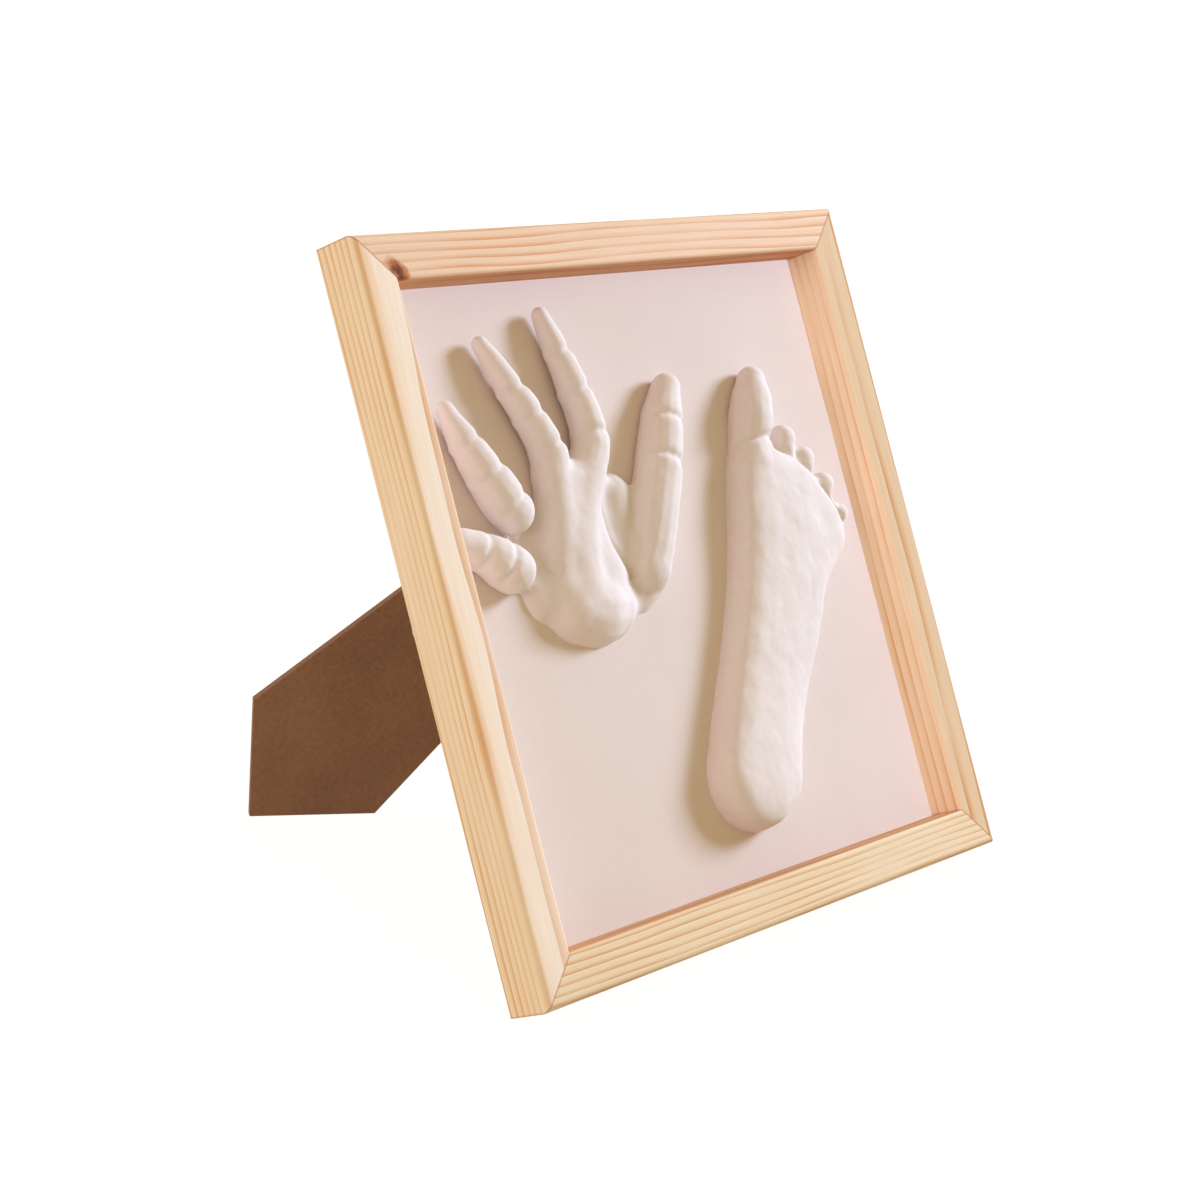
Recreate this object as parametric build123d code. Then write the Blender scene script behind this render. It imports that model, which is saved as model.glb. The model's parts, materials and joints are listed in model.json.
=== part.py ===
from build123d import *
import os
from math import asin, atan, cos, degrees, radians, sin, tan

# Baby handprint frame: a square pine frame with a deep picture recess. Plaster casts of a hand and a
# foot stand on the card inside. A pointed strut on the back opens until its hinge meets a stop, so
# the frame leans back on its rear lower edge and on one edge of the strut's point.
# All sizes are in millimetres and degrees.

# The pine frame
frame_width = 180.0
frame_height = 180.0
face_width = 11.2
batten_depth = 12.4
rabbet_width = 4.0
outer_round = 1.8
inner_round = 0.9

# The card and the backboard, stacked in the rabbet with their rear flush with the battens
card_thickness = 0.3
board_thickness = 1.6
rabbet_clearance = 0.4

# The steel V-nails that hold the mitres, driven in from the rear
nail_leg = 4.2
nail_thickness = 0.5
nail_depth = 6.0
nail_inset = 2.6

# The strut, a thick hardboard with a right-angled point
strut_thickness = 2.5
strut_opening = 45.0
strut_tilt = 50.0
foot_edge_angle = 45.5
shoulder_half_width = 24.5
neck_half_width = 10.0
hinge_from_top = 43.0
tip_margin = 2.5

# The strut's pressed steel hinge
leaf_thickness = 0.8
leaf_length = 20.0
board_leaf_half_width = 9.0
strut_leaf_half_width = 6.0
pin_radius = 1.25
running_clearance = 0.05
knuckle_half_width = 4.2
ear_radius = 1.85
stop_tail = 5.4
stop_tail_height = 1.3
leaf_lift = 0.3
neck_gap = 0.5
pin_head_radius = 1.8
pin_head_height = 0.6
rivet_radius = 1.3
rivet_head_radius = 2.2
rivet_head_height = 0.9
rivet_spacing = 8.0
rivet_edge = 1.5
ear_gap = 0.15
fold_gap = 0.2

# The turn buttons that keep the backboard in
button_length = 19.0
button_width = 6.0
button_margin = 0.7
button_thickness = 1.0
screw_radius = 1.3
screw_head_radius = 2.5
screw_head_height = 1.4
screw_length = 8.0

# The plaster casts: their lengths, their places in the opening, and the heights of their forms
hand_length = 85.0
hand_from_left = 1.9
hand_from_top = 7.8
web_height = 4.2
web_rim = 2.6
palm_sink = 2.0
hollow_sink = 4.0
finger_rise = 4.2
fingertip_rise = 3.3
foot_length = 118.0
foot_from_right = 6.5
foot_from_bottom = 10.8
sole_height = 9.2
sole_rim = 4.5
toe_root_rise = 2.2
toe_rise = 3.6

# Places that follow from the sizes above
sight_width = frame_width - 2 * face_width
sight_height = frame_height - 2 * face_width
card_depth = batten_depth - board_thickness - card_thickness
flange_width = face_width - rabbet_width
button_inset = button_margin + button_width / 2

knuckle_radius = pin_radius + running_clearance + leaf_thickness
pin_height = knuckle_radius
strut_face = leaf_lift + leaf_thickness
face_offset = strut_face - pin_height
tilt = radians(strut_tilt)
opening = radians(strut_opening)
foot_slope = tan(radians(foot_edge_angle)) * sin(tilt)
hinge_height = frame_height - hinge_from_top
lean_tangent = (foot_slope - cos(opening) * cos(tilt)) / sin(opening)
lean = degrees(atan(lean_tangent))
lift_at_stop = face_offset * sin(opening) * cos(tilt)
depth_at_stop = pin_height + face_offset * cos(opening)
strut_reach = (hinge_height + lift_at_stop - lean_tangent * depth_at_stop) / foot_slope
hinge_from_left = tip_margin + strut_reach * sin(tilt)
shoulder_reach = strut_reach - shoulder_half_width / tan(radians(foot_edge_angle))
neck_start = knuckle_radius + leaf_thickness + neck_gap

# The frame is drawn upright: front face on y = 0, back to +y, lower edge on z = 0. The hinge is drawn
# with x along the folded strut, y across it and z away from the back.
hinge_plane = Plane(
    origin=(hinge_from_left - frame_width / 2, batten_depth, hinge_height),
    x_dir=(-sin(tilt), 0, -cos(tilt)),
    z_dir=(0, 1, 0),
)
card_plane = Plane(
    origin=(-sight_width / 2, card_depth, face_width), x_dir=(1, 0, 0), z_dir=(0, -1, 0)
)


def batten(length):
    """One mitred batten along x, its outer edge on z = 0, with a rabbet at the inner rear."""
    shoulder = card_depth
    outline = Polyline(
        (0, 0),
        (batten_depth, 0),
        (batten_depth, flange_width),
        (shoulder, flange_width),
        (shoulder, face_width),
        (0, face_width),
        close=True,
    )
    profile = make_face(outline)
    front = profile.vertices().group_by(Axis.X)[0].sort_by(Axis.Y)
    profile = fillet(front[0], outer_round)
    inner = profile.vertices().group_by(Axis.X)[0].sort_by(Axis.Y)[-1]
    profile = fillet(inner, inner_round)
    bar = extrude(Plane.YZ * profile, length / 2, both=True)
    mitre = Polyline(
        (-length / 2, 0),
        (length / 2, 0),
        (length / 2 - face_width, face_width),
        (face_width - length / 2, face_width),
        close=True,
    )
    return bar & extrude(Plane.XZ * make_face(mitre), -batten_depth)


def place_battens():
    """The four members, turned round the picture."""
    half_width = frame_width / 2
    middle = frame_height / 2
    return {
        "bottom_rail": batten(frame_width),
        "top_rail": Pos(0, 0, frame_height) * Rot(0, 180, 0) * batten(frame_width),
        "left_stile": Pos(-half_width, 0, middle) * Rot(0, 90, 0) * batten(frame_height),
        "right_stile": Pos(half_width, 0, middle) * Rot(0, -90, 0) * batten(frame_height),
    }


def corner_nails():
    """Four V-nails, each with its bend on a mitre line and one leg in each member."""
    leg = Box(nail_leg, nail_thickness, nail_depth, align=(Align.MIN, Align.CENTER, Align.MAX))
    nail = leg + Rot(0, 0, 90) * leg
    nail = Pos(nail_inset, nail_inset, 0) * nail
    nails = []
    for x_side in (-1, 1):
        for z_side in (-1, 1):
            corner = Plane(
                origin=(x_side * frame_width / 2, batten_depth, frame_height / 2 * (1 + z_side)),
                x_dir=(0, 0, -z_side) if x_side == z_side else (-x_side, 0, 0),
                z_dir=(0, 1, 0),
            )
            nails.append(corner * nail)
    return nails


def rabbet_sheet(front, thickness):
    """A sheet that drops into the rabbet from the rear, with its front face at this depth."""
    margin = flange_width + rabbet_clearance
    sheet = Box(frame_width - 2 * margin, thickness, frame_height - 2 * margin)
    return Pos(0, front + thickness / 2, frame_height / 2) * sheet


def hand_spot(across, up):
    """A place in hundredths of the hand's length, from the hand's lower left corner."""
    return (across * hand_length / 100, up * hand_length / 100)


def foot_spot(left, up):
    """A place in hundredths of the foot's length, from the foot's lower right corner."""
    return (-left * foot_length / 100, up * foot_length / 100)


def digit(root, tip, root_radius, tip_radius, root_rise, tip_rise):
    """A finger, toe or ridge: a tapered round form with domed ends, its axis at these heights."""
    start = Vector(*root, root_rise)
    run = Vector(*tip, tip_rise) - start
    length = run.length
    slant = sin(radians(45))
    outline = [
        Line((-root_radius, 0), (length + tip_radius, 0)),
        ThreePointArc(
            (length + tip_radius, 0),
            (length + tip_radius * slant, tip_radius * slant),
            (length, tip_radius),
        ),
        Line((length, tip_radius), (0, root_radius)),
        ThreePointArc(
            (0, root_radius), (-root_radius * slant, root_radius * slant), (-root_radius, 0)
        ),
    ]
    form = revolve(make_face(outline), Axis.X)
    return Plane(origin=start, x_dir=run, z_dir=run.cross(Vector(0, 0, 1)).cross(run)) * form


def slab(circles, height, rim):
    """A low form with a level face and a rounded rim, its outline drawn tightly around circles of these
    centres and radii. It starts a little behind the card."""
    rounds = []
    for centre, radius in circles:
        rounds.append(CenterArc(centre, radius, 0, 360))
    outline = Pos(0, 0, -card_thickness) * make_hull(rounds)
    block = extrude(outline, amount=card_thickness + height)
    level_face = block.faces().sort_by(Axis.Z)[-1]
    return fillet(level_face.edges(), rim)


def stand_on_card(form, length, across, up):
    """Cuts away all that lies behind the card's face and puts the form's corner at a place on the card."""
    middle = (Align.CENTER, Align.CENTER, Align.MIN)
    room = Box(4 * length, 4 * length, 2 * length, align=middle)
    return card_plane * (Pos(across, up, 0) * (form & room))


def hand_cast():
    """A right hand with its palm to the front. Two ridges run down the palm from the index and middle
    fingers to the heel of the hand, and the ball of the thumb rises beside the hollow."""
    unit = hand_length / 100
    palm = [
        ((47, 17), (66, 14), 12.2, 11.8, -palm_sink, -palm_sink),
        ((47, 17), (63, 55), 11.2, 5.2, -palm_sink, finger_rise),
        ((36, 20), (45, 55), 9.4, 4.9, -palm_sink, finger_rise),
        ((57, 35), (60, 23), 11.8, 12.8, -hollow_sink, -hollow_sink),
        ((69, 17), (85, 39), 10.4, 5.9, 0, finger_rise),
    ]
    fingers = [
        ((63, 55), (58, 97), 5.9, 2.6, finger_rise, fingertip_rise),
        ((45, 55), (31, 90), 5.6, 2.5, finger_rise, fingertip_rise),
        ((24, 46), (11, 73), 6.8, 2.7, finger_rise, fingertip_rise),
        ((21, 27), (5, 37), 6.9, 4.5, finger_rise, fingertip_rise),
        ((85, 39), (104, 73), 6.6, 3.8, finger_rise, fingertip_rise),
    ]
    forms = []
    for root, tip, root_radius, tip_radius, root_rise, tip_rise in palm + fingers:
        ends = (hand_spot(*root), hand_spot(*tip), root_radius * unit, tip_radius * unit)
        forms.append(digit(*ends, root_rise, tip_rise))
    hand = forms[0]
    for form in forms[1:]:
        hand += form
    web = []
    for centre, radius in [((42, 33), 19.5), ((68, 29), 20.5), ((57, 21), 20)]:
        web.append((hand_spot(*centre), radius * unit))
    hand += slab(web, web_height, web_rim)
    bottom = sight_height - hand_from_top - hand_length
    return stand_on_card(hand, hand_length, hand_from_left, bottom)


def foot_cast():
    """A left foot with its sole to the front, leaning to the right."""
    unit = foot_length / 100
    toes = [
        ((29, 79), (23, 96), 5.6, 3.7),
        ((20, 75), (15, 85), 3.4, 2.9),
        ((15, 70), (10, 78), 3.2, 2.8),
        ((11, 64), (6, 71), 3.0, 2.7),
        ((9, 59), (3, 64), 2.8, 2.6),
    ]
    sole = []
    for centre, radius in [((51.5, 16.8), 16.6), ((11.5, 61), 6.5), ((31, 75), 7.5)]:
        sole.append((foot_spot(*centre), radius * unit))
    foot = slab(sole, sole_height, sole_rim)
    for root, tip, root_radius, tip_radius in toes:
        ends = (foot_spot(*root), foot_spot(*tip), root_radius * unit, tip_radius * unit)
        foot += digit(*ends, toe_root_rise, toe_rise)
    return stand_on_card(foot, foot_length, sight_width - foot_from_right, foot_from_bottom)


def domed_fastener(head_radius, head_height, shank_radius, shank_length):
    """A rivet or screw on the axis z: a round dome above z = 0 and a plain shank below."""
    sphere_radius = (head_radius**2 + head_height**2) / (2 * head_height)
    centre = head_height - sphere_radius
    half_turn = asin(head_radius / sphere_radius) / 2
    halfway = (sphere_radius * sin(half_turn), centre + sphere_radius * cos(half_turn))
    outline = [
        Line((0, -shank_length), (shank_radius, -shank_length)),
        Line((shank_radius, -shank_length), (shank_radius, 0)),
        Line((shank_radius, 0), (head_radius, 0)),
        ThreePointArc((head_radius, 0), halfway, (0, head_height)),
        Line((0, head_height), (0, -shank_length)),
    ]
    return revolve(Plane.XZ * make_face(outline), Axis.Z)


def rivet_row(first, head_base, length):
    """Two rivets along the leaf."""
    rivet = domed_fastener(rivet_head_radius, rivet_head_height, rivet_radius, length)
    return [Pos(first + step * rivet_spacing, 0, head_base) * rivet for step in (0, 1)]


def rivet_holes(first):
    """The holes that the two rivets fill."""
    drill = Cylinder(rivet_radius, 2 * batten_depth)
    return [Pos(first + step * rivet_spacing, 0, 0) * drill for step in (0, 1)]


board_rivet_start = -leaf_length + rivet_head_radius + rivet_edge
strut_rivet_start = neck_start + rivet_head_radius + rivet_edge


def across_axis(points, near, far):
    """A plate cut square to the pin: an outline in x and z, between two distances along y."""
    plate = extrude(Plane.XZ * make_face(Polyline(*points, close=True)), near - far)
    return Pos(0, near, 0) * plate


def pin_cylinder(radius, near, far):
    """A round form on the pin's axis, between two distances along y."""
    form = Cylinder(radius, far - near, align=(Align.CENTER, Align.CENTER, Align.MIN))
    return Pos(0, near, pin_height) * Rot(-90, 0, 0) * form


def board_leaf():
    """The fixed leaf: a plate riveted to the backboard, curled round the pin in the middle."""
    ear_room = ear_radius + leaf_thickness
    plate = Pos(-ear_room, 0, 0) * Box(
        leaf_length - ear_room,
        2 * board_leaf_half_width,
        leaf_thickness,
        align=(Align.MAX, Align.CENTER, Align.MIN),
    )
    tongue = Box(
        leaf_length / 2, 2 * knuckle_half_width, leaf_thickness, align=(Align.MAX, Align.CENTER, Align.MIN)
    )
    curl = pin_cylinder(knuckle_radius, -knuckle_half_width, knuckle_half_width)
    bore = pin_cylinder(pin_radius + running_clearance, -knuckle_half_width, knuckle_half_width)
    leaf = plate + tongue + curl - bore
    return leaf - rivet_holes(board_rivet_start)


ear_near = knuckle_half_width + ear_gap
ear_far = ear_near + leaf_thickness


def strut_leaf():
    """The moving leaf, folded flat: a plate under the strut with two ears on the pin. The tail of each
    ear meets the fixed leaf when the strut is open, and stops it there."""
    plate_start = knuckle_radius + fold_gap
    plate = Pos(plate_start, 0, leaf_lift) * Box(
        neck_start + leaf_length - plate_start,
        2 * strut_leaf_half_width,
        leaf_thickness,
        align=(Align.MIN, Align.CENTER, Align.MIN),
    )
    leaf = plate
    top = pin_height + ear_radius
    arm = [
        (0, leaf_lift),
        (neck_start - neck_gap, leaf_lift),
        (neck_start - neck_gap, pin_height),
        (0, top),
    ]
    stop_level = leaf_thickness + running_clearance
    tail = [
        (-stop_tail, stop_level),
        (0, stop_level),
        (0, top),
        (-stop_tail, stop_level + stop_tail_height),
    ]
    for near, far in ((-ear_far, -ear_near), (ear_near, ear_far)):
        disc = pin_cylinder(ear_radius, near, far)
        leaf += disc + across_axis(arm, near, far) + swing(across_axis(tail, near, far), -strut_opening)
        leaf -= pin_cylinder(pin_radius + running_clearance / 2, near, far)
    return leaf - rivet_holes(strut_rivet_start)


def swing(form, angle):
    """Turns a form about the pin: positive angles lift the strut away from the back."""
    return Pos(0, 0, pin_height) * Rot(0, -angle, 0) * Pos(0, 0, -pin_height) * form


def hinge_pin():
    """A plain pin with a head on each end."""
    neck = ear_far + running_clearance
    pin = pin_cylinder(pin_radius, -neck, neck)
    for near in (-neck - pin_head_height, neck):
        pin += pin_cylinder(pin_head_radius, near, near + pin_head_height)
    return pin


def strut():
    """The strut, folded flat: a strip that widens to its shoulders and ends in a point."""
    outline = Polyline(
        (neck_start, -neck_half_width),
        (shoulder_reach, -shoulder_half_width),
        (strut_reach, 0),
        (shoulder_reach, shoulder_half_width),
        (neck_start, neck_half_width),
        close=True,
    )
    board = extrude(Plane.XY.offset(strut_face) * make_face(outline), strut_thickness)
    return board - rivet_holes(strut_rivet_start)


def turn_button():
    """A flat swivel plate on its screw's axis, pointing along +x, its rear face away from the batten."""
    reach = button_length - button_width
    outline = Pos(reach / 2, 0) * SlotOverall(button_length, button_width)
    plate = Pos(0, 0, running_clearance) * extrude(outline, button_thickness)
    return plate - Cylinder(screw_radius + running_clearance, 4 * button_thickness)


def button_screw():
    """A round-head screw: the head sits just clear of the button."""
    seat = button_thickness + 2 * running_clearance
    screw = domed_fastener(screw_head_radius, screw_head_height, screw_radius, screw_length + seat)
    return Pos(0, 0, seat) * screw


button_planes = {
    "top": Plane(
        origin=(0, batten_depth, frame_height - button_inset), x_dir=(0, 0, -1), z_dir=(0, 1, 0)
    ),
    "right": Plane(
        origin=(frame_width / 2 - button_inset, batten_depth, frame_height / 2),
        x_dir=(-1, 0, 0),
        z_dir=(0, 1, 0),
    ),
    "bottom": Plane(origin=(0, batten_depth, button_inset), x_dir=(0, 0, 1), z_dir=(0, 1, 0)),
    "left": Plane(
        origin=(button_inset - frame_width / 2, batten_depth, frame_height / 2),
        x_dir=(1, 0, 0),
        z_dir=(0, 1, 0),
    ),
}

# The pieces, upright, with the strut opened to its stop
pieces = place_battens()
nails = corner_nails()
screws = [plane * button_screw() for plane in button_planes.values()]
for name in pieces:
    for cutter in nails + screws:
        pieces[name] = pieces[name] - cutter
pieces["corner_v_nails"] = Compound(nails)
pieces["mount_card"] = rabbet_sheet(card_depth, card_thickness)
pieces["hand_cast"] = hand_cast()
pieces["foot_cast"] = foot_cast()
backboard = rabbet_sheet(card_depth + card_thickness, board_thickness)
for hole in rivet_holes(board_rivet_start):
    backboard = backboard - hinge_plane * hole
pieces["backboard"] = backboard

board_rivets = rivet_row(board_rivet_start, leaf_thickness, leaf_thickness + board_thickness)
strut_rivets = rivet_row(
    strut_rivet_start, strut_face + strut_thickness, leaf_thickness + strut_thickness
)
pieces["hinge_board_leaf"] = hinge_plane * board_leaf()
pieces["board_leaf_rivets"] = Compound([hinge_plane * rivet for rivet in board_rivets])
moving = {
    "easel_strut": [strut()],
    "hinge_strut_leaf": [strut_leaf()],
    "hinge_pin": [hinge_pin()],
    "strut_leaf_rivets": strut_rivets,
}
for name, solids in moving.items():
    opened = [hinge_plane * swing(solid, strut_opening) for solid in solids]
    pieces[name] = opened[0] if len(opened) == 1 else Compound(opened)
for side, plane in button_planes.items():
    pieces["turn_button_" + side] = plane * turn_button()
pieces["turn_button_screws"] = Compound(screws)

# The frame leans back on its rear lower edge, and the origin goes to the middle of its footprint
to_lean = Rot(-lean, 0, 0) * Pos(0, -batten_depth, 0)
pieces = {name: to_lean * piece for name, piece in pieces.items()}
box = Compound(list(pieces.values())).bounding_box()
to_origin = Pos(-box.center().X, -box.center().Y, -box.min.Z)

os.makedirs("parts", exist_ok=True)
for name, piece in pieces.items():
    export_step(to_origin * piece, os.path.join("parts", name + ".step"))

to_row = to_origin * to_lean
pin_point = to_row * hinge_plane.location * Pos(0, 0, pin_height)
print("lean", round(lean, 3), "strut length", round(strut_reach, 2))
print("box", box.size, "strut pin", pin_point.position)
for side, plane in button_planes.items():
    print("turn button", side, (to_row * plane.location).position)
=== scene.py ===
# %% [markdown]
# # A baby handprint frame
# A square pine frame leans back on a hardboard strut. On the card inside stand two plaster casts: a
# right hand with its palm to the front, and a left foot with its sole to the front.
# The frame, the strut, the hinge and the turn buttons come with the loaded model. This lesson models the
# two casts, gives every surface its finish, and lights the frame as in a studio.

# %% Load the model
import json
import math

import bpy
import numpy as np
from mathutils import Matrix, Vector


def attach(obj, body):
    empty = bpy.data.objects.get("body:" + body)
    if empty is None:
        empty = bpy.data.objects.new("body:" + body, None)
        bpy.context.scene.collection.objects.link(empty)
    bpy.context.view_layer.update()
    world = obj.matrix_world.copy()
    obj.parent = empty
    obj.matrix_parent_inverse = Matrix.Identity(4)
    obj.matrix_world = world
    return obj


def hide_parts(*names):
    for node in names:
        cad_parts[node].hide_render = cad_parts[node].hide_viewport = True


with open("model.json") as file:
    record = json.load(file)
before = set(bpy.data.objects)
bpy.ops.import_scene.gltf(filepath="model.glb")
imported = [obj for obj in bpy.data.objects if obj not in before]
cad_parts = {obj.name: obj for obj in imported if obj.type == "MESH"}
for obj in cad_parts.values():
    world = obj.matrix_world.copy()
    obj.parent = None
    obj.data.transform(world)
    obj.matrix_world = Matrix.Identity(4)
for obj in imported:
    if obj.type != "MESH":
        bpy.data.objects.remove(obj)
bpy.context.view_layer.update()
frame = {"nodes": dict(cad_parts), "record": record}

# %% [markdown]
# ## Places on the card
# The picture leans back, so a place on it is easiest to give as three distances: across from the frame's
# left edge, up from its lower edge, and out from the card's face. They could be typed as world coordinates,
# but nobody could read those. The model's lower edge has a mount whose axis points down along the picture,
# and that gives the lean.

# %% Axes of the leaning picture
MM = 0.001
down = Vector(frame["record"]["mounts"][0]["axis"]).normalized()
up = -down
across = Vector((1, 0, 0))
out = across.cross(up)
lean = math.atan2(up.y, up.z)


def reach(node, direction):
    """The least and the greatest distance of a node along a direction."""
    distances = [vertex.co.dot(direction) for vertex in frame["nodes"][node].data.vertices]
    return min(distances), max(distances)


left_edge = reach("left_stile", across)[0]
lower_edge = reach("bottom_rail", up)[0]
card_face = reach("mount_card", out)[1]


def on_card(right, above, height):
    """A point of the picture, from millimetres across, up and out of the card."""
    return (
        across * (left_edge + right * MM) + up * (lower_edge + above * MM) + out * (card_face + height * MM)
    )


print("lean", round(math.degrees(lean), 2), "degrees; card corner", on_card(0, 0, 0))

# %% [markdown]
# ## How a material is written
# Colours are written as they look on a screen, in hex, and turned to linear light by one function. One
# other function adds a node: its settings are plain keywords, and its inputs are numbers or other nodes'
# outputs. Patterns start from Object coordinates, turned upright and counted in millimetres, so that they
# stay on a piece when it moves.


# %% Colour and node helpers
def linear(hex_colour):
    """A colour written as it shows on screen, turned to linear light."""
    values = [int(hex_colour[i : i + 2], 16) / 255 for i in (1, 3, 5)]
    light = [v / 12.92 if v <= 0.04045 else ((v + 0.055) / 1.055) ** 2.4 for v in values]
    return (*light, 1.0)


def add(tree, kind, inputs=None, stops=(), **settings):
    """Adds one node with its settings and colour stops, and links or sets its inputs."""
    node = tree.nodes.new("ShaderNode" + kind)
    for name, value in settings.items():
        setattr(node, name, value)
    for index, (place, colour) in enumerate(stops):
        elements = node.color_ramp.elements
        element = elements[index] if index < len(elements) else elements.new(place)
        element.position = place
        element.color = linear(colour)
    for name, value in (inputs or {}).items():
        if isinstance(value, bpy.types.NodeSocket):
            tree.links.new(value, node.inputs[name])
        else:
            node.inputs[name].default_value = value
    return node


def new_material(name):
    """An empty material: its node tree, its surface shader and the place where patterns start."""
    material = bpy.data.materials.new(name)
    material.use_nodes = True
    tree = material.node_tree
    shader = tree.nodes["Principled BSDF"]
    place = add(tree, "TexCoord").outputs["Object"]
    per_mm = 1 / MM
    upright = add(
        tree, "Mapping", {"Vector": place, "Rotation": (lean, 0, 0), "Scale": (per_mm, per_mm, per_mm)}
    ).outputs["Vector"]
    return material, tree, shader, upright


def dress(node_names, material):
    """Puts a material on nodes of the model."""
    for name in node_names:
        data = frame["nodes"][name].data
        data.materials.clear()
        data.materials.append(material)
    print(material.name, "on", ", ".join(node_names))


print("middle grey is", round(linear("#808080")[0], 3), "in linear light")

# %% [markdown]
# ## Sanded pine
# The battens are planed and sanded pine with no varnish: pale cream earlywood with thin, darker latewood
# lines about two millimetres apart. A picture of wood could be laid on each face, but its lines would break
# at every edge. A batten is sawn along the trunk, so its lines are slices of rings round a far-off pith. The
# material draws just that: rings round an axis beside the batten, bent a little by noise, so that the lines
# run on from the face to the side. Slow patches fade the lines, and fine fibres roughen the tone.

# %% Rings and fibres
# The wave texture's rings are this far apart at scale 1.
WAVE_TURN = 2 * math.pi / 20
# Waves to a millimetre, along the grain and twice across it. Real fibres are too fine to show, so these are
# drawn about half a millimetre wide.
SWAY_PER_MM = (1 / 125, 1 / 20, 1 / 20)
PATCHES_PER_MM = (1 / 50, 0.09, 0.09)
FIBRES_PER_MM = (1 / 20, 2.2, 2.2)


def drawn_out(tree, along, per_mm, detail):
    """A noise drawn out along the grain, with so many waves to a millimetre each way."""
    place = add(tree, "Mapping", {"Vector": along, "Scale": per_mm}).outputs["Vector"]
    return add(tree, "TexNoise", {"Vector": place, "Scale": 1.0, "Detail": detail})


def jostled(tree, places, noise, size):
    """Places that a noise pushes about, by half this size at most."""
    even = add(tree, "VectorMath", {0: noise, 1: (0.5, 0.5, 0.5)}, operation="SUBTRACT").outputs[0]
    push = add(tree, "VectorMath", {0: even, "Scale": size}, operation="SCALE").outputs[0]
    return add(tree, "VectorMath", {0: places, 1: push}, operation="ADD").outputs[0]


def ring_lines(tree, along, spacing, sway_size):
    """Rings round the pith, this far apart, swaying with the grain."""
    sway = drawn_out(tree, along, SWAY_PER_MM, 2.0).outputs["Color"]
    return add(
        tree,
        "TexWave",
        {
            "Vector": jostled(tree, along, sway, sway_size),
            "Scale": WAVE_TURN / spacing,
            "Distortion": 0.0,
        },
        wave_type="RINGS",
        rings_direction="X",
        wave_profile="SAW",
    ).outputs["Fac"]


print("one sway of the grain in", round(1 / SWAY_PER_MM[0]), "mm")

# %% [markdown]
# ### Mitres, painted inner shade and a knot
# Where two battens meet, the mitre shows as a thin brown line. The inner faces of the top and bottom rails
# are painted darker and browner from just behind the front: painted shade of the deep frame. One dark knot
# sits in the top rail beside the left mitre. Each of these marks could be painted on an image; here each is
# worked out from the place on the frame, so it stays sharp and can be moved.

# %% Places on a batten
half_size = -left_edge / MM
half_sight = -reach("left_stile", across)[1] / MM
front_face = reach("top_rail", out)[1]


def off_centre(tree, upright):
    """How far a place lies from the picture's middle, sideways and upwards, and behind the front."""
    parts = add(tree, "SeparateXYZ", {"Vector": upright})
    sideways = add(tree, "Math", {0: parts.outputs["X"]}, operation="ABSOLUTE").outputs[0]
    middle = lower_edge / MM + half_size
    level = add(tree, "Math", {0: parts.outputs["Z"], 1: middle}, operation="SUBTRACT").outputs[0]
    upwards = add(tree, "Math", {0: level}, operation="ABSOLUTE").outputs[0]
    depth = add(tree, "Math", {0: parts.outputs["Y"], 1: front_face / MM}, operation="ADD").outputs[0]
    return sideways, upwards, depth


print("frame", round(2 * half_size, 1), "mm wide, sight opening", round(2 * half_sight, 1), "mm")

# %% Mitre lines and painted inner shade
# Multiply blending, used for real tones and stains and for the painted inner shade.
STAIN_AND_SHADE = {"data_type": "RGBA", "blend_type": "MULTIPLY"}
MITRE_BROWN = "#A87243"
MITRE_STRENGTH = 0.6
MITRE_FULL, MITRE_GONE = 0.1, 0.45
# How far past the sight opening the painted inner shade reaches, and where behind the front it starts and is
# full, in mm.
SHADE_SLACK = 0.2
SHADE_START, SHADE_FULL = 0.3, 1.2


def mitre_lines(tree, sideways, upwards, colour):
    """A thin dark line where two battens meet at 45 degrees."""
    apart = add(tree, "Math", {0: sideways, 1: upwards}, operation="SUBTRACT").outputs[0]
    apart = add(tree, "Math", {0: apart}, operation="ABSOLUTE").outputs[0]
    reach_of_line = {"From Min": MITRE_FULL, "From Max": MITRE_GONE, "To Min": MITRE_STRENGTH, "To Max": 0.0}
    line = add(tree, "MapRange", {"Value": apart, **reach_of_line}).outputs["Result"]
    return add(tree, "Mix", {0: line, 6: colour, 7: linear(MITRE_BROWN)}, data_type="RGBA").outputs[2]


def painted_inner_shade(tree, upwards, depth, colour, tone):
    """Painted shade: a darker, browner tone on a rail's inner face, starting a little behind the front."""
    inside = add(tree, "Math", {0: upwards, 1: half_sight + SHADE_SLACK}, operation="LESS_THAN").outputs[0]
    behind = add(
        tree, "MapRange", {"Value": depth, "From Min": SHADE_START, "From Max": SHADE_FULL}
    ).outputs["Result"]
    share = add(tree, "Math", {0: inside, 1: behind}, operation="MULTIPLY").outputs[0]
    return add(tree, "Mix", {0: share, 6: colour, 7: linear(tone)}, **STAIN_AND_SHADE).outputs[2]


print("mitre lines", 2 * MITRE_GONE, "mm wide")

# %% A knot
KNOT_CORE, KNOT_HALO = 0.2, 3.4
KNOT_STRETCH = (1.5, 1, 0.8)
KNOT_RAGGED = 2.4
KNOT_COLOURS = [(0.0, "#6A3A18"), (0.35, "#925C32"), (0.68, "#DDB088"), (1.0, "#FFFFFF")]


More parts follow.
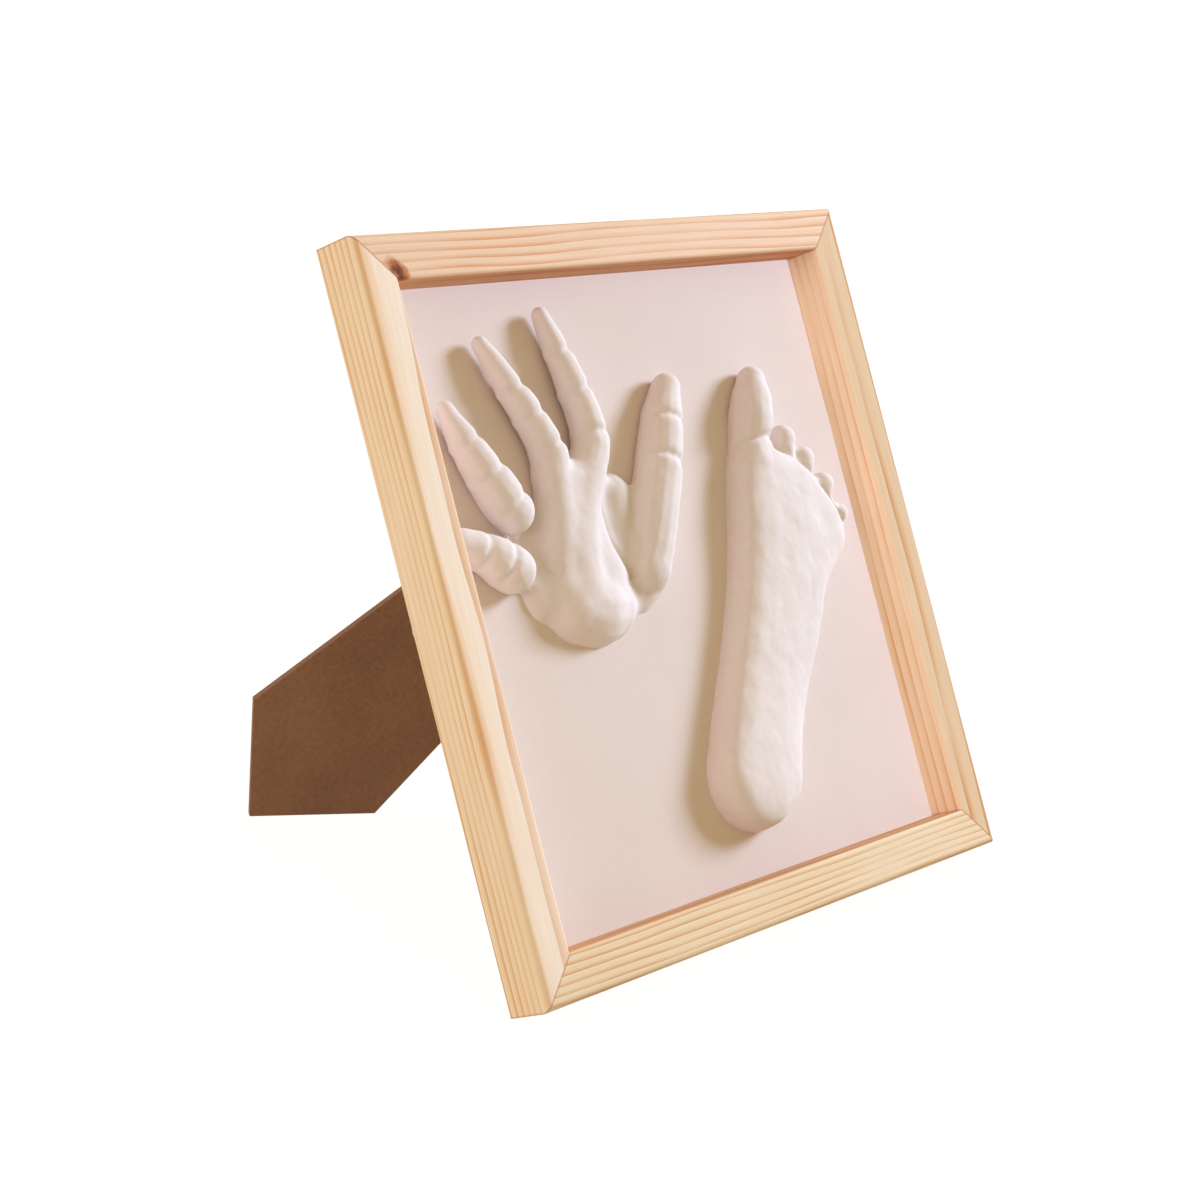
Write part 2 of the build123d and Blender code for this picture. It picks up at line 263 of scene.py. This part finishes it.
def add_knot(tree, upright, colour, knot):
    """A dark knot at a point, drawn out along the mitre, with a ragged brown halo."""
    ragged = add(tree, "TexNoise", {"Vector": upright, "Scale": 0.6, "Detail": 3.0}).outputs["Color"]
    along_mitre = add(
        tree,
        "Mapping",
        {
            "Vector": jostled(tree, upright, ragged, KNOT_RAGGED),
            "Location": knot,
            "Rotation": (0, math.radians(45), 0),
            "Scale": KNOT_STRETCH,
        },
        vector_type="TEXTURE",
    ).outputs["Vector"]
    distance = add(tree, "VectorMath", {0: along_mitre}, operation="LENGTH").outputs["Value"]
    spread = add(
        tree, "MapRange", {"Value": distance, "From Min": KNOT_CORE, "From Max": KNOT_HALO}
    ).outputs["Result"]
    stain = add(tree, "ValToRGB", {"Fac": spread}, stops=KNOT_COLOURS).outputs["Color"]
    return add(tree, "Mix", {0: 1.0, 6: colour, 7: stain}, **STAIN_AND_SHADE).outputs[2]


print("knot", round(2 * KNOT_HALO * KNOT_STRETCH[0], 1), "mm long with its halo")

# %% [markdown]
# ### One material for each batten
# Two battens are never sawn from the same place in the trunk. So one function makes the pine, and each
# batten gets its own pith, ring spacing and tone. The pith is moved below, behind or beside the batten until
# the face and the side show the right lines: close ones where the cut runs across the rings, and broad
# flames where it runs along them.

# %% Pine for one batten
RING_COLOURS = [(0.0, "#FCEEDE"), (0.55, "#FAE6D0"), (0.84, "#EFC69E"), (1.0, "#DDA678")]
PALE_PATCH = "#FBEBDA"
PATCH_START, PATCH_FULL = 0.38, 0.8
FIBRE_COLOURS = [(0.3, "#F0DDC8"), (0.7, "#FFFFFF")]
FIBRE_SHARE = 0.4
FIBRE_HEIGHT = 0.15


# Sanded bare pine scatters light like paper: it has a dull surface with hardly any gloss.
def pine(name, turn, pith, spacing, sway_size, tone, inner_shade_tone="#FFFFFF", knot=None):
    """Pine whose grain runs along X after the turn, with the pith this far off in millimetres."""
    material, tree, shader, upright = new_material(name)
    along = add(tree, "Mapping", {"Vector": upright, "Rotation": turn, "Location": pith}).outputs["Vector"]
    rings = ring_lines(tree, along, spacing, sway_size)
    tint = add(tree, "ValToRGB", {"Fac": rings}, stops=RING_COLOURS).outputs["Color"]
    patch = drawn_out(tree, along, PATCHES_PER_MM, 1.0).outputs["Fac"]
    fade = add(
        tree, "MapRange", {"Value": patch, "From Min": PATCH_START, "From Max": PATCH_FULL}
    ).outputs["Result"]
    pale = add(tree, "Mix", {0: fade, 6: tint, 7: linear(PALE_PATCH)}, data_type="RGBA").outputs[2]
    fibre = drawn_out(tree, along, FIBRES_PER_MM, 3.0).outputs["Fac"]
    fibre_tone = add(tree, "ValToRGB", {"Fac": fibre}, stops=FIBRE_COLOURS).outputs["Color"]
    wood = add(tree, "Mix", {0: FIBRE_SHARE, 6: pale, 7: fibre_tone}, **STAIN_AND_SHADE).outputs[2]
    toned = add(tree, "Mix", {0: 1.0, 6: wood, 7: linear(tone)}, **STAIN_AND_SHADE).outputs[2]
    sideways, upwards, depth = off_centre(tree, upright)
    # The rails' inner faces get painted shade here, standing in for the shade inside the deep frame.
    shaded_inside = painted_inner_shade(tree, upwards, depth, toned, inner_shade_tone)
    colour = mitre_lines(tree, sideways, upwards, shaded_inside)
    if knot:
        colour = add_knot(tree, upright, colour, knot)
    tree.links.new(colour, shader.inputs["Base Color"])
    shader.inputs["Roughness"].default_value = 0.62
    shader.inputs["Specular IOR Level"].default_value = 0.1
    bump = add(tree, "Bump", {"Height": fibre, "Strength": 0.25, "Distance": FIBRE_HEIGHT * MM})
    tree.links.new(bump.outputs["Normal"], shader.inputs["Normal"])
    return material


# %% Four battens
along_stile = (0, math.radians(90), 0)
along_rail = (0, 0, 0)
KNOT_ACROSS, KNOT_ABOVE = 11.6, 170.6
knot_place = (left_edge / MM + KNOT_ACROSS, -front_face / MM, lower_edge / MM + KNOT_ABOVE)
battens = {
    "left_stile": pine(
        "sanded pine, left stile", along_stile, pith=(0, 0, -69), spacing=1.9, sway_size=3.0,
        tone="#FFFFFF",
    ),
    "right_stile": pine(
        "sanded pine, right stile", along_stile, pith=(30, 0, 118), spacing=2.4, sway_size=3.0,
        tone="#F6EBDB",
    ),
    "top_rail": pine(
        "sanded pine, top rail", along_rail, pith=(60, 36, -212), spacing=2.2, sway_size=5.0,
        # This is the painted shade tone for the top rail's inner face.
        tone="#FAE8DA", inner_shade_tone="#DCC0AE", knot=knot_place,
    ),
    "bottom_rail": pine(
        "sanded pine, bottom rail", along_rail, pith=(90, 40, -60), spacing=1.8, sway_size=5.0,
        # This is the painted shade tone for the bottom rail's inner face.
        tone="#FAF5E4", inner_shade_tone="#DABBA0",
    ),
}
for node, wood in battens.items():
    dress([node], wood)

# %% [markdown]
# ## Card, hardboard, plaster and steel
# The other surfaces are even, and what makes them real is a slight unevenness of tone and a fine tooth. A
# plain colour would look like plastic, so one function mixes two close tones in broad clouds and in small
# grains, and lets the grains stand up a little. The grain's size comes from the real material; the tooth of
# the card and of the plaster is drawn coarser than it is, so that it shows at all.

# %% Materials with two close tones
CLOUD_SIZE = 25
CLOUD_LOW, CLOUD_HIGH = 0.7, 1.3


def speckled(name, dark, light, grain, roughness, tooth):
    """A surface of two close tones, with the size of a grain and its height in millimetres."""
    material, tree, shader, upright = new_material(name)
    broad = add(tree, "TexNoise", {"Vector": upright, "Scale": 1 / CLOUD_SIZE, "Detail": 3.0}).outputs["Fac"]
    fine = add(tree, "TexNoise", {"Vector": upright, "Scale": 1 / grain, "Detail": 4.0}).outputs["Fac"]
    both = add(tree, "Math", {0: broad, 1: fine}, operation="ADD").outputs[0]
    spread = add(
        tree, "MapRange", {"Value": both, "From Min": CLOUD_LOW, "From Max": CLOUD_HIGH}
    ).outputs["Result"]
    tint = add(tree, "ValToRGB", {"Fac": spread}, stops=[(0.0, dark), (1.0, light)]).outputs["Color"]
    tree.links.new(tint, shader.inputs["Base Color"])
    shader.inputs["Roughness"].default_value = roughness
    bump = add(tree, "Bump", {"Height": fine, "Strength": 0.3, "Distance": tooth * MM})
    tree.links.new(bump.outputs["Normal"], shader.inputs["Normal"])
    return material


# %% Card, hardboard and plaster
# Thick uncoated card is dead matte, with a faint pink cast and a fine felt.
card = speckled("matte card", "#E4D3CA", "#E9D8D0", grain=0.7, roughness=0.85, tooth=0.05)
dress(["mount_card"], card)
# Hardboard is brown wood fibre pressed smooth: speckled, with a low sheen.
hardboard = speckled("brown hardboard", "#835C42", "#996E50", grain=1.2, roughness=0.7, tooth=0.1)
dress(["backboard", "easel_strut"], hardboard)
# Plaster from a soft mould dries chalky: no gloss, and as pale as the card.
plaster = speckled("cast plaster", "#E4D6CF", "#EADCD6", grain=2.0, roughness=0.8, tooth=0.06)

# %% Zinc-plated steel
# Zinc plate on stamped steel is a soft grey mirror: it shows the room's light without sharp pictures.
steel = speckled("zinc-plated steel", "#8C8D8C", "#A9AAA8", grain=3.0, roughness=0.38, tooth=0.01)
steel.node_tree.nodes["Principled BSDF"].inputs["Metallic"].default_value = 1.0
hinge_pieces = ["hinge_board_leaf", "board_leaf_rivets", "hinge_strut_leaf", "hinge_pin", "strut_leaf_rivets"]
turn_buttons = ["turn_button_top", "turn_button_right", "turn_button_bottom", "turn_button_left"]
dress(["corner_v_nails", *hinge_pieces, *turn_buttons, "turn_button_screws"], steel)

# %% [markdown]
# ## The casts
# A cast of a baby's hand is soft and round everywhere. It could be cut from a block face by face, but every
# edge would have to be rounded again. So it is built like a clay figure: each finger is a tube that follows a
# path and thins towards its tip, and the palm is a few thicker tubes side by side. The points of a path are
# places on the card, each with a height above it and a radius, all in millimetres.


# %% Tubes of clay
def clay_ball(right, above, height, radius):
    """A ball at a place on the card."""
    bpy.ops.mesh.primitive_uv_sphere_add(
        segments=24, ring_count=16, radius=radius * MM, location=on_card(right, above, height)
    )
    return bpy.context.object


def clay_tube(points):
    """A tapered round tube through (across, up, height, radius) points, with a ball on each end."""
    bpy.ops.curve.primitive_bezier_curve_add()
    tube = bpy.context.object
    tube.data.dimensions = "3D"
    tube.data.bevel_depth = MM
    tube.data.bevel_resolution = 5
    tube.data.resolution_u = 10
    tube.data.use_fill_caps = True
    spline = tube.data.splines[0]
    spline.bezier_points.add(len(points) - len(spline.bezier_points))
    for knob, (right, above, height, radius) in zip(spline.bezier_points, points):
        knob.co = on_card(right, above, height)
        knob.handle_left_type = "AUTO"
        knob.handle_right_type = "AUTO"
        knob.radius = radius
    tube.location = (0, 0, 0)
    bpy.ops.object.convert(target="MESH")
    return [bpy.context.object, clay_ball(*points[0]), clay_ball(*points[-1])]


def mould(tubes):
    """All the clay pieces of these tubes, which are given by name."""
    pieces = []
    for points in tubes.values():
        pieces += clay_tube(points)
    print("moulded", ", ".join(tubes))
    return pieces


# %% [markdown]
# ### One skin
# The tubes run through each other, and pressed clay doesn't. A voxel remesh wraps them in one skin. When that
# skin is swollen, wrapped again and shrunk back by as much, the narrow hollows between the tubes stay
# filled, like the web between two fingers. Boolean unions would keep every sharp seam.


# %% Press clay together
def press_together(name, pieces, grain, web, rounds):
    """Joins clay pieces into one smooth skin whose hollows are filled to this radius."""
    bpy.ops.object.select_all(action="DESELECT")
    for piece in pieces:
        piece.select_set(True)
    bpy.context.view_layer.objects.active = pieces[0]
    bpy.ops.object.join()
    cast = bpy.context.object
    cast.name = name
    bpy.ops.object.transform_apply(location=True, rotation=True, scale=True)
    for swell in (web, -web):
        skin = cast.modifiers.new("skin", "REMESH")
        skin.mode = "VOXEL"
        skin.voxel_size = grain * MM
        bpy.ops.object.modifier_apply(modifier=skin.name)
        push = cast.modifiers.new("push", "DISPLACE")
        push.mid_level = 0
        push.strength = swell * MM
        bpy.ops.object.modifier_apply(modifier=push.name)
    soften = cast.modifiers.new("soften", "SMOOTH")
    soften.factor = 0.5
    soften.iterations = rounds
    bpy.ops.object.modifier_apply(modifier=soften.name)
    print(name, "pressed from", len(pieces), "pieces")
    return cast


# %% [markdown]
# ### Flat soles and creases
# A sole is nearly level from the heel to the ball, and a hand has lines across its palm and its joints.
# Sculpt brushes make both by hand, but a stroke can't be repeated from a script. So the two brushes are
# written as moves of the vertices: one presses down what rises too high, and one presses in along a line.

# %% Flatten and crease
CREASE_FROM = 3


def vertex_places(piece):
    """The places of a mesh's vertices, one row each."""
    places = np.empty(len(piece.data.vertices) * 3)
    piece.data.vertices.foreach_get("co", places)
    return places.reshape(-1, 3)


def press_in(piece, places, depths):
    """Moves each vertex towards the card by its own depth."""
    places -= np.outer(depths, np.array(out))
    piece.data.vertices.foreach_set("co", places.ravel())
    piece.data.update()


def flatten(piece, level, room):
    """Presses what rises above this height, more the higher it is, so that it stays below level + room."""
    places = vertex_places(piece)
    above = np.clip((places @ np.array(out) - card_face) / MM - level, 0, None)
    pressed = room * (1 - np.exp(-above / room))
    press_in(piece, places, (above - pressed) * MM)


def crease(piece, line, width, depth):
    """Presses a thin crease into a cast along a line on the card, full from CREASE_FROM up."""
    places = vertex_places(piece)
    spots = np.column_stack(
        [places @ np.array(across) - left_edge, places @ np.array(up) - lower_edge]
    ) / MM
    nearest = np.full(len(spots), np.inf)
    for start, end in zip(line[:-1], line[1:]):
        start = np.array(start)
        run = np.array(end) - start
        share = np.clip((spots - start) @ run / (run @ run), 0, 1)
        gap = np.linalg.norm(spots - start - np.outer(share, run), axis=1)
        nearest = np.minimum(nearest, gap)
    height = places @ np.array(out) - card_face
    profile = np.exp(-((nearest / width) ** 2))
    press_in(piece, places, depth * MM * profile * np.clip(height / (CREASE_FROM * MM), 0, 1))


# %% [markdown]
# ### Standing on the card
# Plaster from a soft mould is never quite even, so a cloud texture moves the skin by a fraction of a
# millimetre: that is real relief, which a bump in the material wouldn't give to the outline. The tubes also
# go on behind the card. A block cuts the cast off flat at the card's face, where the real one would be
# glued.

# %% Roughen, cut and finish
SKIN_CLOUDS = 7
SKIN_RELIEF = 0.5
plaster_skin = bpy.data.textures.new("plaster_skin", "CLOUDS")
plaster_skin.noise_scale = SKIN_CLOUDS * MM
plaster_skin.noise_depth = 2
BLOCK_WIDTH, BLOCK_DEPTH = 400, 100
SMOOTH_BELOW = math.radians(50)


def stand(cast):
    """Roughens a cast, cuts it off flat at the card's face and gives it its finish."""
    uneven = cast.modifiers.new("uneven", "DISPLACE")
    uneven.texture = plaster_skin
    uneven.texture_coords = "LOCAL"
    uneven.strength = SKIN_RELIEF * MM
    bpy.ops.object.modifier_apply(modifier=uneven.name)
    behind = on_card(half_size, half_size, -BLOCK_DEPTH / 2)
    bpy.ops.mesh.primitive_cube_add(size=1, location=behind, rotation=(-lean, 0, 0))
    block = bpy.context.object
    block.scale = (BLOCK_WIDTH * MM, BLOCK_DEPTH * MM, BLOCK_WIDTH * MM)
    bpy.ops.object.select_all(action="DESELECT")
    cast.select_set(True)
    bpy.context.view_layer.objects.active = cast
    cut = cast.modifiers.new("cut", "BOOLEAN")
    cut.operation = "DIFFERENCE"
    cut.solver = "MANIFOLD"
    cut.object = block
    bpy.ops.object.modifier_apply(modifier=cut.name)
    bpy.data.objects.remove(block)
    bpy.ops.object.shade_smooth_by_angle(angle=SMOOTH_BELOW)
    cast.data.materials.clear()
    cast.data.materials.append(plaster)
    print(cast.name, len(cast.data.polygons), "faces")


# %% [markdown]
# ## The hand
# The palm comes first, from tubes that fan out from the heel of the hand, and is pressed together with wide
# webs. The fingers are added to that skin and pressed with narrow ones, so that they stay apart. The palm's
# long ridges lead to the index and the middle finger; the ring and the little finger stand free of it.

# %% Clay for the palm
palm_tubes = {
    "heel to index": [
        (53, 91, -1.6, 10.0), (54.5, 100, -0.4, 8.6), (57.5, 110, 1.2, 7.2), (63.5, 119.5, 3.4, 5.6),
    ],
    "heel to middle": [
        (48, 93, -1.6, 8.6), (49, 101, 0.8, 6.4), (50.4, 110, 2.4, 5.6), (51.8, 119.5, 3.4, 5.0),
    ],
    "between these two": [
        (51, 90, -2.6, 10.0), (51.5, 100, -0.8, 8.4), (53.5, 109, 0.6, 7.4), (57, 117.5, 2.2, 5.8),
    ],
    "heel of the hand": [(51, 88.5, -2.2, 10.2), (57.5, 86.8, -2.2, 10.6), (64, 86.6, -4.0, 9.6)],
    "hollow of the palm": [(61, 112, -1.4, 7.2), (60, 103, -2.0, 8.6), (62, 94, -3.0, 9.6)],
    "ball of the thumb": [
        (75, 89, -4.6, 8.0), (79, 92.5, -2.0, 7.8), (82.5, 100, 0.8, 7.2), (85.5, 107, 2.4, 6.2),
    ],
    "web of the thumb": [(74.5, 113.5, -1.0, 5.4), (73.5, 104, -1.6, 5.4), (71, 94, -3.5, 7.4)],
    "outer edge": [(38.5, 106, -5.0, 5.6), (38.5, 99, -4.5, 6.2), (42, 92, -4.0, 8.0)],
}
bpy.ops.object.select_all(action="DESELECT")
palm = press_together("palm", mould(palm_tubes), grain=0.7, web=2.0, rounds=14)

# %% Clay for the fingers
finger_tubes = {
    "index": [
        (63.5, 119.5, 3.6, 5.2), (67.2, 126, 4.2, 5.0), (67.2, 131.5, 4.4, 4.6), (66.2, 138, 4.4, 4.3),
        (64.9, 144.5, 4.2, 3.8), (63.4, 152, 3.7, 3.2), (61.9, 159.0, 3.2, 2.2),
    ],
    "middle": [
        (51, 119.5, 3.6, 5.0), (51.6, 125, 4.2, 4.8), (50.0, 130, 4.4, 4.4), (47.6, 135.5, 4.4, 4.1),
        (44.8, 141, 4.2, 3.7), (41.6, 148, 3.7, 3.0), (39.2, 153.4, 3.2, 2.1),
    ],
    "ring": [
        (35.8, 112.8, 2.8, 5.6), (33.4, 115.4, 3.6, 5.8), (30.8, 119.2, 4.2, 5.6), (28.0, 124, 4.4, 4.9),
        (25.2, 130, 4.1, 4.2), (22.4, 138.8, 3.3, 2.3),
    ],
    "little": [
        (30.6, 99.2, 3.4, 5.8), (27.2, 101.4, 3.8, 5.8), (22.5, 104.4, 3.7, 5.0), (16.8, 107.4, 3.2, 3.8),
    ],
    "thumb": [
        (78, 94, 0.6, 7.8), (81.8, 102, 2.8, 6.9), (86.4, 111, 3.8, 6.5), (90.6, 119, 4.0, 6.3),
        (96.2, 129.6, 3.7, 5.6), (101.0, 137.2, 3.2, 3.9),
    ],
}
hand = press_together("plaster_hand", [palm] + mould(finger_tubes), grain=0.5, web=1.0, rounds=6)

# %% Creases of the hand
palm_lines = [
    [(65.5, 113), (66.2, 101), (71, 92)],
    [(77.6, 109.5), (74.6, 99), (71, 92)],
    [(46.4, 115), (44, 107.7), (42.6, 102), (43.4, 97)],
]
joint_lines = {
    "index": [[(60.5, 128.6), (73.5, 128.0)], [(61.5, 138.2), (71, 140.4)], [(59.5, 148.6), (68.5, 150.2)]],
    "middle": [[(45.0, 124.4), (57.5, 128.4)], [(43.4, 132.4), (53, 136.4)], [(40.4, 140), (48.8, 143)]],
    "ring": [[(29.0, 111.0), (38.0, 117.0)], [(24, 119.6), (34, 125)], [(20.6, 128.6), (30, 132.4)]],
    "little": [[(24.4, 96.2), (30.4, 106.0)], [(18.8, 99.6), (24.4, 110.0)]],
    "thumb": [[(86.6, 121.2), (97, 115.6)], [(91.6, 131.2), (102.6, 126.0)]],
}
for line in palm_lines:
    crease(hand, line, width=1.0, depth=0.9)
for finger_lines in joint_lines.values():
    for line in finger_lines:
        crease(hand, line, width=1.2, depth=0.8)
stand(hand)
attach(hand, "frame")
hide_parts("hand_cast")

# %% [markdown]
# ## The foot
# The sole is three broad tubes from the heel to the ball and one across the ball, pressed together with the
# widest webs. Flattening then leaves round flanks and a nearly level top, as a foot has that stood in a
# mould. The toes are added as short stubs, and creases under them part them from the ball.

# %% Clay for the sole
sole_tubes = {
    "inner side": [
        (96.6, 36.4, 1.2, 14.2), (102.4, 48, 1.0, 13.5), (109.5, 62, 1.0, 12.0), (117.5, 78, 1.0, 11.2),
        (122.5, 90, 1.4, 10.9), (126, 101, 2.2, 10.7), (129, 111, 2.2, 10.0),
    ],
    "outer side": [
        (104, 37, -5.0, 14.0), (113, 54, -4.4, 13.6), (126, 72, -2.4, 12.6), (137, 86, -0.8, 11.2),
        (149, 93, -1.0, 9.6),
    ],
    "middle of the sole": [
        (100.5, 37, 0.0, 13.6), (109, 56, -0.4, 13.0), (119, 72, -0.4, 12.6), (128.5, 88, 0.4, 12.0),
        (135, 98, 1.2, 11.6),
    ],
    "ball": [(129, 108, 1.6, 10.6), (138.5, 106, 0.6, 10.6), (149.5, 97, -0.2, 8.8)],
}
bpy.ops.object.select_all(action="DESELECT")
sole = press_together("sole", mould(sole_tubes), grain=0.8, web=6.0, rounds=30)
flatten(sole, level=5.0, room=5.2)

# %% Toes and creases of the foot
toe_tubes = {
    "big toe": [
        (127.5, 114, 2.0, 7.2), (129.0, 120.5, 2.6, 5.9), (131.0, 126.5, 3.8, 6.1), (133.0, 131.5, 3.8, 5.6),
        (135.2, 136.2, 3.4, 4.0),
    ],
    "second toe": [(139.8, 113.5, 1.2, 4.2), (142.3, 119.6, 3.2, 3.8)],
    "third toe": [(145.8, 107.5, 1.2, 4.0), (148.6, 113.4, 3.0, 3.6)],
    "fourth toe": [(150.5, 100.5, 1.2, 3.8), (154.4, 105.8, 2.9, 3.4)],
    "little toe": [(153.5, 93.0, 1.2, 3.6), (158.2, 97.2, 2.6, 3.2)],
}
foot_creases = [
    [(123, 120.4), (133, 120.6)],
    [(134, 117.4), (139.5, 115.6), (146.4, 110.4), (152, 103.2), (156.4, 95.4)],
]
foot = press_together("plaster_foot", [sole] + mould(toe_tubes), grain=0.5, web=0.5, rounds=12)
for line in foot_creases:
    crease(foot, line, width=1.0, depth=1.2)
stand(foot)
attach(foot, "frame")
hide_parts("foot_cast")

# %% [markdown]
# ## The floor and the sky
# The frame stands on white paper in a white room. A lit white floor turns grey away from the lamps, so this
# one also glows for the camera and for reflections, and keeps part of its real shade, where the frame's
# shadow falls. The sky does the same: it looks white, and what it sheds on the frame is weaker and warm, like
# light that has bounced off the walls.

# %% Floor
FLOOR_SIZE = 30.0
FLOOR_GLOW = 1.2
GLOW_SHARE = 0.8


def seen_directly(tree):
    """One for the rays of the camera and of reflections, and nought for the rest."""
    path = add(tree, "LightPath")
    rays = {0: path.outputs["Is Camera Ray"], 1: path.outputs["Is Glossy Ray"]}
    return add(tree, "Math", rays, operation="MAXIMUM").outputs[0]


bpy.ops.object.select_all(action="DESELECT")
bpy.ops.mesh.primitive_plane_add(size=FLOOR_SIZE)
floor = bpy.context.object
floor.name = "floor"
# Background paper is matte and evenly white.
floor_paint, tree, shader = new_material("white floor")[:3]
shader.inputs["Base Color"].default_value = linear("#F8F8F8")
shader.inputs["Roughness"].default_value = 0.9
share = add(tree, "Math", {0: seen_directly(tree), 1: GLOW_SHARE}, operation="MULTIPLY").outputs[0]
glow = add(tree, "Emission", {"Color": (1, 1, 1, 1), "Strength": FLOOR_GLOW}).outputs[0]
mixed = add(tree, "MixShader", {0: share, 1: shader.outputs[0], 2: glow}).outputs[0]
tree.links.new(mixed, tree.nodes["Material Output"].inputs["Surface"])
floor.data.materials.append(floor_paint)
print("floor", FLOOR_SIZE, "m wide")

# %% Sky
SKY_LIGHT = 0.55
SKY_TONE = "#FFE9B2"
world = bpy.data.worlds.new("studio")
bpy.context.scene.world = world
world.use_nodes = True
tree = world.node_tree
sky = tree.nodes["Background"]
direct = seen_directly(tree)
strength = add(tree, "MapRange", {"Value": direct, "To Min": SKY_LIGHT, "To Max": 1.0}).outputs["Result"]
tree.links.new(strength, sky.inputs["Strength"])
sky_tone = add(tree, "Mix", {0: direct, 6: linear(SKY_TONE), 7: (1, 1, 1, 1)}, data_type="RGBA").outputs[2]
tree.links.new(sky_tone, sky.inputs["Color"])
print("sky sheds", SKY_LIGHT)

# %% [markdown]
# ## The lamps
# The key is a soft box to the right, above and in front of the picture, so that fingers and toes throw their
# shade to the left. Three weaker lamps do what reflectors do in a studio. One on the left lights the outer
# side of the left stile, the strut and the backboard, and one beside it fills the shaded flanks of the casts;
# both also reach the right stile. One in front is for the right stile alone.


# %% Soft boxes
picture = on_card(half_size, half_size, 0)


def soft_box(name, place, size, power, colour):
    """A square lamp at a place right, above and in front of the picture's middle, which it looks at."""
    right, above, ahead = place
    offset = across * right + up * above + out * ahead
    bpy.ops.object.light_add(type="AREA", location=picture + offset)
    lamp = bpy.context.object
    lamp.name = name
    lamp.data.size = size
    lamp.data.energy = power
    lamp.data.color = linear(colour)[:3]
    lamp.rotation_euler = (-offset).to_track_quat("-Z", "Y").to_euler()
    print(name, power, "W")
    return lamp


key = soft_box("key", (1.74, 0.5, 0.94), size=0.6, power=60, colour="#CCDFFF")
side = soft_box("side", (-0.9, 0.15, 0.1), size=0.4, power=2.5, colour="#FFF4F4")
fill = soft_box("fill", (-0.9, 0.1, 0.22), size=0.5, power=2.0, colour="#EAE4FF")
front = soft_box("front", (0.5, 0.4, 1.2), size=0.6, power=11, colour="#CCDFFF")

# %% [markdown]
# ### Which lamp lights what
# So deep a frame would shade its own card, and a lamp meant for one piece would spoil another. Screens solve
# that in a studio. Blender has light linking: a lamp's list of receivers says what it lights, and its list of
# blockers says what throws shade in it. A list can also name the pieces that it leaves out.


# %% Light linking
def pieces_for(name, pieces, left_out=False):
    """A list of pieces for a lamp, or of the pieces that the lamp leaves out."""
    group = bpy.data.collections.new(name)
    for piece in pieces:
        group.objects.link(piece)
    if left_out:
        for item in group.collection_objects:
            item.light_linking.link_state = "EXCLUDE"
    print(name, ", ".join(piece.name for piece in pieces))
    return group


nodes = frame["nodes"]
right_stile = nodes["right_stile"]
lit_by_side = [nodes["left_stile"], right_stile, nodes["easel_strut"], nodes["backboard"]]
lets_key_past = [right_stile, nodes["top_rail"], nodes["turn_button_right"], nodes["turn_button_top"]]
lets_key_past += [nodes["turn_button_screws"], nodes["corner_v_nails"]]
lets_fill_past = [nodes["left_stile"], nodes["turn_button_left"]]
key.light_linking.receiver_collection = pieces_for("not lit by the key", [floor, right_stile], left_out=True)
key.light_linking.blocker_collection = pieces_for("lets the key past", lets_key_past, left_out=True)
side.light_linking.receiver_collection = pieces_for("lit by the side lamp", lit_by_side)
fill.light_linking.receiver_collection = pieces_for("lit by the fill lamp", [hand, foot, right_stile])
fill.light_linking.blocker_collection = pieces_for("lets the fill past", lets_fill_past, left_out=True)
front.light_linking.receiver_collection = pieces_for("lit by the front lamp", [right_stile])

# %% [markdown]
# ## The camera
# The camera stands to the left of the frame and a little above it, and is tipped slightly to one side. Its
# place and turn were worked out from the frame's edges in the picture.

# %% Camera
CAMERA_PLACE = (-0.49033, -0.42622, 0.24005)
AZIMUTH, DIP, ROLL = 49.293, 14.656, 4.101
FOCAL_PIXELS, PICTURE_PIXELS = 2582.5, 1200
camera_data = bpy.data.cameras.new("camera")
camera_data.sensor_width = 36
camera_data.lens = FOCAL_PIXELS * camera_data.sensor_width / PICTURE_PIXELS
camera = bpy.data.objects.new("camera", camera_data)
bpy.context.scene.collection.objects.link(camera)
turn = (
    Matrix.Rotation(math.radians(-AZIMUTH), 4, "Z")
    @ Matrix.Rotation(math.radians(90 - DIP), 4, "X")
    @ Matrix.Rotation(math.radians(ROLL), 4, "Z")
)
camera.matrix_world = Matrix.Translation(CAMERA_PLACE) @ turn
bpy.context.scene.camera = camera
bpy.context.scene.view_settings.view_transform = "Standard"
print("lens", round(camera_data.lens, 1), "mm")
